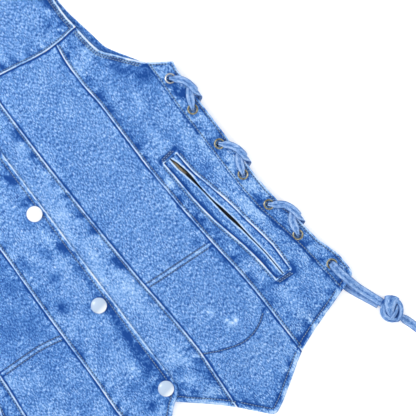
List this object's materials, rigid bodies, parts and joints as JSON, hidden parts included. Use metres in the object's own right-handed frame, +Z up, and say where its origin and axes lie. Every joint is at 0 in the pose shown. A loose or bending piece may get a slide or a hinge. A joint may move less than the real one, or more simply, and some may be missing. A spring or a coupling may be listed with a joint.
{
  "type": "denim vest",
  "caption": "Sleeveless denim waistcoat laid flat, snap front with pointed hems, slanted welt pockets and lace-up sides.",
  "frame": {"origin": "on the floor under the middle of the garment's bounding box, measured without the loose lace ends and their knots", "axes": "+X towards the wearer's left, +Y towards the shoulders, +Z up out of the front"},
  "size_m": [0.4922, 0.6052, 0.014],
  "materials": {
    "denim": "washed light blue twill with pale worn ridges and dark seam puckers",
    "lace_denim": "folded and stitched strip of the same cloth, paler and softer",
    "pocket_lining": "plain tan cotton",
    "eyelet_metal": "antique nickel-brass, dull in the grooves",
    "snap_metal": "pearly white-silver domed cap"
  },
  "bodies": {
    "root": {"back": "denim", "band_left": "denim", "band_right": "denim", "centre_lower_left": "denim", "centre_lower_right": "denim", "centre_upper_left": "denim", "centre_upper_right": "denim", "eyelet_left_1": "eyelet_metal", "eyelet_left_2": "eyelet_metal", "eyelet_left_3": "eyelet_metal", "eyelet_left_4": "eyelet_metal", "eyelet_left_5": "eyelet_metal", "eyelet_left_6": "eyelet_metal", "eyelet_left_7": "eyelet_metal", "eyelet_right_1": "eyelet_metal", "eyelet_right_2": "eyelet_metal", "eyelet_right_3": "eyelet_metal", "eyelet_right_4": "eyelet_metal", "eyelet_right_5": "eyelet_metal", "eyelet_right_6": "eyelet_metal", "eyelet_right_7": "eyelet_metal", "knot_left": "lace_denim", "knot_right": "lace_denim", "lace_strip_left": "denim", "lace_strip_right": "denim", "lacing_back_left": "lace_denim", "lacing_back_right": "lace_denim", "lacing_front_left": "lace_denim", "lacing_front_right": "lace_denim", "pocket_bag_left": "pocket_lining", "pocket_bag_right": "pocket_lining", "side_left": "denim", "side_right": "denim", "snap_1": "snap_metal", "snap_2": "snap_metal", "snap_3": "snap_metal", "snap_4": "snap_metal", "tail_back_left": "lace_denim", "tail_back_right": "lace_denim", "tail_end_left": "lace_denim", "tail_end_right": "lace_denim", "tail_front_left": "lace_denim", "tail_front_right": "lace_denim", "welt_inner_left": "denim", "welt_inner_right": "denim", "welt_outer_left": "denim", "welt_outer_right": "denim", "yoke_left": "denim", "yoke_right": "denim"}
  },
  "joints": []
}
